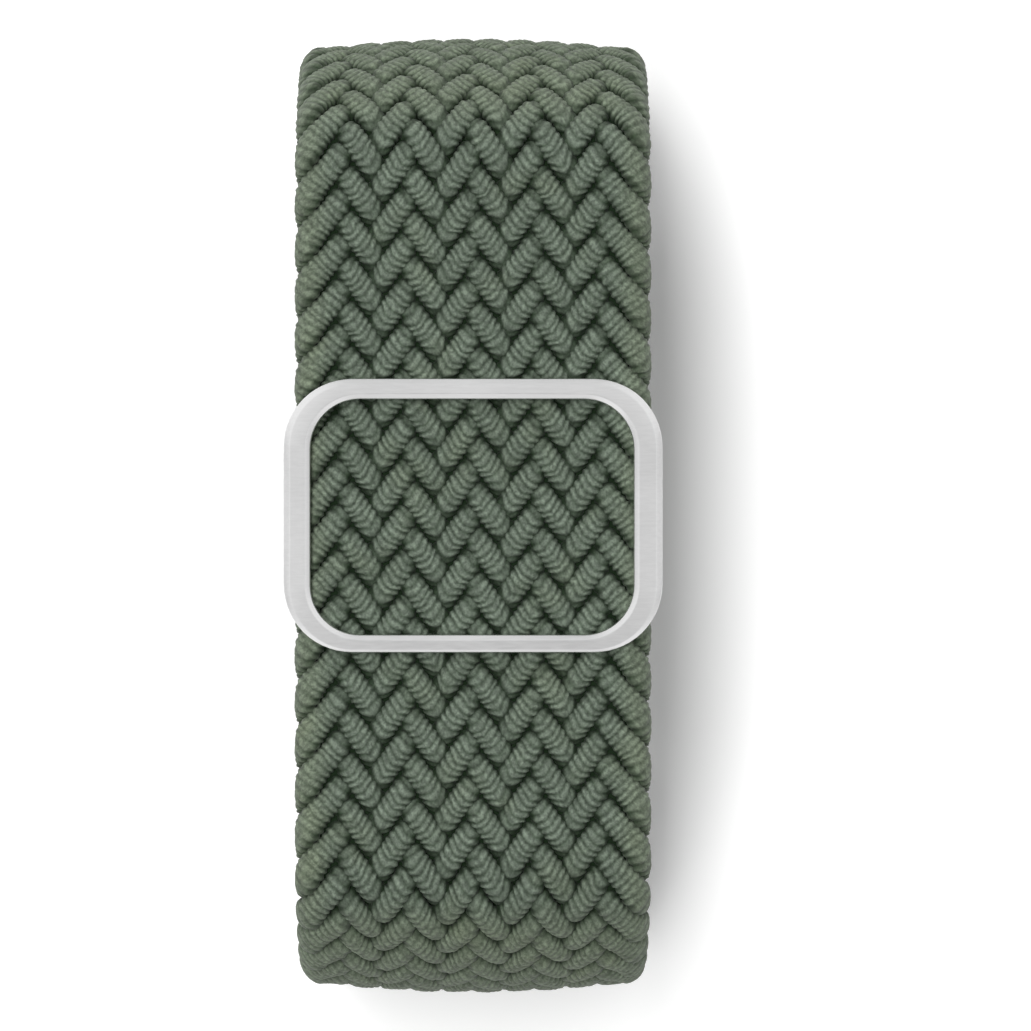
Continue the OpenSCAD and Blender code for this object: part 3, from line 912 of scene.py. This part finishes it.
def cheek_outline():
    """A cheek from the side: a skirt under the rim that narrows to a boss round the cross bar."""
    top = RIM_LOW + CHEEK_SINK
    corners = [(CHEEK_L / 2, top), (CHEEK_L / 2, top - CHEEK_SKIRT), (BOSS_R, BAR_Z), (0, BAR_Z), (0, top)]
    bend = slice(CHEEK_STEPS + 1, 2 * (CHEEK_STEPS + 1))
    right = [corners[0], *map(tuple, rounded(corners, CHEEK_ROUND, CHEEK_STEPS)[bend])]
    angles = np.radians(np.arange(0, -181, -BOSS_STEP))
    boss = [(BOSS_R * math.cos(a), BAR_Z + BOSS_R * math.sin(a)) for a in angles]
    return [*right, *boss, *[(-y, z) for y, z in right[::-1]]][::-1]


frame_shape = new_store()
rim_shape(frame_shape)
cheek_x = SLIDER_W / 2 - CHEEK_INSET
for side in (-1, 1):
    near, far = side * (cheek_x - CHEEK_T), side * cheek_x
    plate_shape(frame_shape, cheek_outline(), min(near, far), max(near, far))
slider_frame = stored_mesh("slider_rim", frame_shape, satin)
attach(slider_frame, "slider")
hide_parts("slider_frame")

TURNED_SIDES = 48


def turned_shape(store, profile, centre):
    """A shape turned about an axis along X through centre (y, z), from its profile of (x, radius)."""
    profile = np.asarray(profile, float)
    a = np.linspace(0, 2 * math.pi, TURNED_SIDES, endpoint=False)
    y = centre[0] + profile[:, 1:] * np.cos(a)[None, :]
    z = centre[1] + profile[:, 1:] * np.sin(a)[None, :]
    x = np.repeat(profile[:, :1], TURNED_SIDES, axis=1)
    quads, caps = tube_faces(*x.shape)
    add_faces(store, np.stack([x, y, z], -1).reshape(-1, 3), quads, caps)


# The riveted end of the cross bar: how far each ring stands out from the cheek, and its radius
RIVET = [(0.07, 0.12), (0.06, 0.35), (0.02, 0.55), (-0.05, 0.67), (-0.16, BAR_D / 2)]
rivet = [(cheek_x + x, r) for x, r in RIVET]
bar_shape = new_store()
turned_shape(bar_shape, [(-x, r) for x, r in rivet] + rivet[::-1], (0, BAR_Z))
slider_bar = stored_mesh("slider_cross_bar", bar_shape, polished)
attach(slider_bar, "slider")
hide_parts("slider_bar")

# Sewing: each stitch is a two-ply thread that comes up, runs along the face and goes down again
THREAD_D = 0.35
STITCH_PITCH = 2.1
ROW_PITCH = 2.4
STITCH_L = 1.5
STITCH_RINGS = 27
THREAD_SIDES = 14
DIVE = 0.75
DIVE_POWER = 7
TWIST = 0.9
PLY = 0.14


def stitch_shape(store, x_mid, lift_dir, origin):
    """One stitch along X: origin is the point on the face under its middle, lift_dir points off the face."""
    t = np.linspace(-1, 1, STITCH_RINGS)
    x = x_mid + t * STITCH_PITCH / 2
    off = THREAD_D / 2 - DIVE * np.abs(t) ** DIVE_POWER
    spine = np.array(origin)[None, :] + np.outer(off, lift_dir)
    spine[:, 0] += x
    ahead = unit(np.gradient(spine, axis=0))
    up = unit(np.array(lift_dir)[None, :] - ahead * (ahead @ np.array(lift_dir))[:, None])
    side = np.cross(ahead, up)
    a = np.linspace(0, 2 * math.pi, THREAD_SIDES, endpoint=False)[None, :]
    turn = 2 * math.pi * (x / TWIST)[:, None]
    r = (THREAD_D / 2 * (1 - PLY + PLY * np.cos(2 * (a - turn))))[..., None]
    a = a[..., None]
    points = spine[:, None] + r * np.cos(a) * up[:, None] + r * np.sin(a) * side[:, None]
    quads, caps = tube_faces(*points.shape[:2])
    add_faces(store, points.reshape(-1, 3), quads, caps)


def stitches(name, rows, w, row_origin, lift_dir, body, node):
    """Rows of stitches over a width w. row_origin gives the middle of each row on the face."""
    store = new_store()
    count = math.floor((w - STITCH_L) / STITCH_PITCH)
    for row in range(rows):
        for k in range(count):
            stitch_shape(store, (k - (count - 1) / 2) * STITCH_PITCH, lift_dir, row_origin(row))
    thread = stored_mesh(name, store, thread_cloth, weighted=False)
    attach(thread, body)
    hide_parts(node)


STITCH_INSET = 1.2
SEAM_MARGIN = 0.5
anchor_face = -SIDE_Y + LAYER_STEP + BAND_T / 2
anchor_low = TAIL_TOP_Z - ANCHOR_TAIL / 2 - ROW_PITCH
stitches(
    "anchor_thread",
    rows=3,
    w=BAND_W - BAND_T,
    row_origin=lambda row: (0, anchor_face, anchor_low + row * ROW_PITCH),
    lift_dir=(0, 1, 0),
    body="band",
    node="anchor_stitching",
)
pressed_face = PRESSED_Z - PRESSED_T / 2
stitches(
    "slider_thread",
    rows=2,
    w=PRESSED_W - 2 * SEAM_MARGIN,
    row_origin=lambda row: (0, PRESSED_TAIL - STITCH_INSET - row * ROW_PITCH, pressed_face),
    lift_dir=(0, 0, -1),
    body="slider",
    node="slider_stitching",
)

# The springs in the spring bars: each half is pressed together by its own tip
SPRING_Y = 18.9635
SPRING_Z = 1.7
SPRING_R = 0.43
WIRE_R = 0.1
HALF_TURNS = 9
TURN_STEPS = 20
WIRE_SIDES = 10
SPRING_FROM = -9.3
SPRING_TO = 4.8


def spring_half(name, side, end):
    """Half a spring, from its middle to end, its tip. side is -1 in the fixed link, 1 in the running one."""
    a = np.linspace(0, 2 * math.pi * HALF_TURNS, TURN_STEPS * HALF_TURNS + 1)
    middle = (SPRING_FROM + SPRING_TO) / 2
    x = middle + (end - middle) * np.linspace(0, 1, len(a))
    y, z = side * SPRING_Y + SPRING_R * np.cos(a), SPRING_Z + SPRING_R * np.sin(a)
    spine = np.stack([-side * x, y, z], axis=-1)
    ahead = unit(np.gradient(spine, axis=0))
    out = np.stack([0 * a, np.cos(a), np.sin(a)], axis=-1)
    across = np.cross(ahead, out)
    b = np.linspace(0, 2 * math.pi, WIRE_SIDES, endpoint=False)[None, :, None]
    points = spine[:, None] + WIRE_R * (np.cos(b) * out[:, None] + np.sin(b) * across[:, None])
    quads, caps = tube_faces(*points.shape[:2])
    store = new_store()
    add_faces(store, points.reshape(-1, 3), quads, caps)
    half = stored_mesh(name, store, drawn, weighted=False)
    body = "fixed" if side < 0 else "running"
    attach(half, f"{body}_end")
    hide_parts(f"{body}_bar_spring")
    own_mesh(half)


for side, body in ((-1, "fixed"), (1, "running")):
    spring_half(f"{body}_spring_release_half", side, SPRING_TO)
    spring_half(f"{body}_spring_plain_half", side, SPRING_FROM)

# Solids that keep their shape and only get a material
METALS = {
    "link": link_steel,
    "link_pin": polished,
    "bar_tube": polished,
    "bar_release_tip": polished,
    "bar_release_knob": polished,
    "bar_plain_tip": polished,
}


def paint(obj, material):
    """Gives an object one material, with its mesh as it is."""
    for slot in obj.material_slots:
        slot.material = material


for name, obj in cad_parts.items():
    key = name.replace("fixed_", "").replace("running_", "")
    if key in METALS:
        paint(obj, METALS[key])
    elif name.endswith("stitching"):
        paint(obj, thread_cloth)

# The floor: white, and for the camera a little brighter beyond the strap's shadow and in the distance.
# Towards the strap's ends its glow is painted light that lifts the strap's shadow there. Distances on it are
# in metres.
FLOOR_HALF = 3.0
FLOOR_TONE = 0.94
GLOW = (0.075, 0.25)
END_SHADOW_LIFT = (0.013, 0.034)
GLOW_AROUND = (0.06, 0.12)
GLOW_FAR = (0.0, 0.45)
GLOW_DISTANCE = (0.3, 2.0)
floor_mesh = bpy.data.meshes.new("floor")
floor_corners = [(FLOOR_HALF * x, FLOOR_HALF * y, 0) for x, y in QUARTERS[2:] + QUARTERS[:2]]
floor_mesh.from_pydata(floor_corners, [], [(0, 1, 2, 3)])
floor = in_scene(bpy.data.objects.new("floor", floor_mesh))
floor_material = bpy.data.materials.new("floor_white")
floor_material.use_nodes = True
nodes = Nodes(floor_material.node_tree)
diffuse = nodes.add("ShaderNodeBsdfDiffuse")
diffuse.inputs["Color"].default_value = (FLOOR_TONE, FLOOR_TONE, FLOOR_TONE, 1)
reach = nodes.length(nodes.place())
# Painted light: more glow towards the strap's ends, over the strap's shadow there
ends = nodes.spread(nodes.math("ABSOLUTE", nodes.split(nodes.place())["Y"]), *END_SHADOW_LIFT, *GLOW)
around = nodes.spread(reach, *GLOW_AROUND, *GLOW)
far = nodes.spread(reach, *GLOW_DISTANCE, *GLOW_FAR)
level = nodes.math("ADD", nodes.math("MAXIMUM", ends, around), far)
seen = nodes.add("ShaderNodeLightPath").outputs["Is Camera Ray"]
glow = nodes.add("ShaderNodeEmission")
nodes.put(glow.inputs["Strength"], nodes.math("MULTIPLY", seen, level))
both = nodes.add("ShaderNodeAddShader")
nodes.put(both.inputs[0], diffuse.outputs[0])
nodes.put(both.inputs[1], glow.outputs[0])
out = nodes.add("ShaderNodeOutputMaterial")
nodes.put(out.inputs["Surface"], both.outputs[0])
floor_mesh.materials.append(floor_material)

# The sky: soft light from beyond the strap's upper end, a more even one for what shines, and white where the
# camera sees it. Each row says from where to where a direction points to its side, and the light there.
SKY_TONE = 0.8
SOFT_SIDE = (-0.20, 0.88, 0.43)
SOFT = (-0.1, 0.9, 0.04, 1.02)
SHINE_ALONG = (-0.3, 0.3, 0.60, 0.85)
SHINE_LOW_FRONT = (0.35, 0.80, 0.0, 0.34)
SHINE_LEFT = (-0.35, 0.35, 0.0, 0.06)
SHINE_SIDES = (0.0, 0.45, 0.0, 0.28)
SHINE_LOW_SIDES = (0.85, 1.0, 0.0, -0.3)
world = bpy.data.worlds.new("studio")
world.use_nodes = True
bpy.context.scene.world = world
nodes = Nodes(world.node_tree)


def sky(strength, tone=SKY_TONE):
    """A plain background of one strength."""
    node = nodes.add("ShaderNodeBackground")
    node.inputs["Color"].default_value = (tone, tone, tone, 1)
    nodes.put(node.inputs["Strength"], strength)
    return node.outputs[0]


def chosen(ray, otherwise, shader):
    """A background for one kind of ray, and another for the rest."""
    node = nodes.add("ShaderNodeMixShader")
    nodes.put(node.inputs[0], path.outputs[ray])
    nodes.put(node.inputs[1], otherwise)
    nodes.put(node.inputs[2], shader)
    return node.outputs[0]


direction = nodes.add("ShaderNodeTexCoord").outputs["Generated"]
path = nodes.add("ShaderNodeLightPath")
aside = nodes.math("ABSOLUTE", nodes.toward(direction, 1.0, 0.0, 0.0))
soft = nodes.spread(nodes.toward(direction, *SOFT_SIDE), *SOFT)
shine = nodes.spread(nodes.toward(direction, 0.0, 1.0, 0.0), *SHINE_ALONG)
for extra in (
    nodes.spread(nodes.toward(direction, 0.0, -1.0, 0.0), *SHINE_LOW_FRONT),
    nodes.spread(nodes.toward(direction, -1.0, 0.0, 0.0), *SHINE_LEFT),
    nodes.spread(aside, *SHINE_SIDES),
    nodes.spread(aside, *SHINE_LOW_SIDES),
):
    shine = nodes.math("ADD", shine, extra)
unseen = chosen("Is Glossy Ray", sky(soft), sky(shine))
out = nodes.add("ShaderNodeOutputWorld")
nodes.put(out.inputs["Surface"], chosen("Is Camera Ray", unseen, sky(1.0, tone=1.0)))

# A long soft box, narrow across the strap, a little to its left
KEY_LEVEL = 0.80
KEY_DISTANCE = 1.2
KEY_LEFT = math.radians(6.8)
KEY_UP = math.radians(0.5)
KEY_W = 0.18
KEY_L = 0.70
key_light = bpy.data.lights.new("key", "AREA")
key_light.shape = "RECTANGLE"
key_light.size = KEY_W
key_light.size_y = KEY_L
key_light.energy = (math.pi * KEY_DISTANCE) ** 2 * KEY_LEVEL
key = in_scene(bpy.data.objects.new("key", key_light))
aim = (-math.sin(KEY_LEFT), math.sin(KEY_UP), math.cos(KEY_LEFT))
key.location = [KEY_DISTANCE * step for step in aim]
key.rotation_euler = (-KEY_UP, -KEY_LEFT, 0)
key.visible_glossy = False

# A camera straight above, whose picture's middle lies to the right of the strap
CAMERA_Z = 0.354
FRAME_W = 0.06424
FRAME_DISTANCE = 0.31
FRAME_PIXELS = 1031
SHIFT_PIXELS = 42.5
SENSOR_W = 36.0
cam = bpy.data.cameras.new("camera")
cam.sensor_width = SENSOR_W
cam.lens = SENSOR_W * FRAME_DISTANCE / FRAME_W
cam.shift_x = SHIFT_PIXELS / FRAME_PIXELS
camera = in_scene(bpy.data.objects.new("camera", cam))
camera.location = (0, 0, CAMERA_Z)
bpy.context.scene.camera = camera
bpy.context.scene.view_settings.view_transform = "Standard"
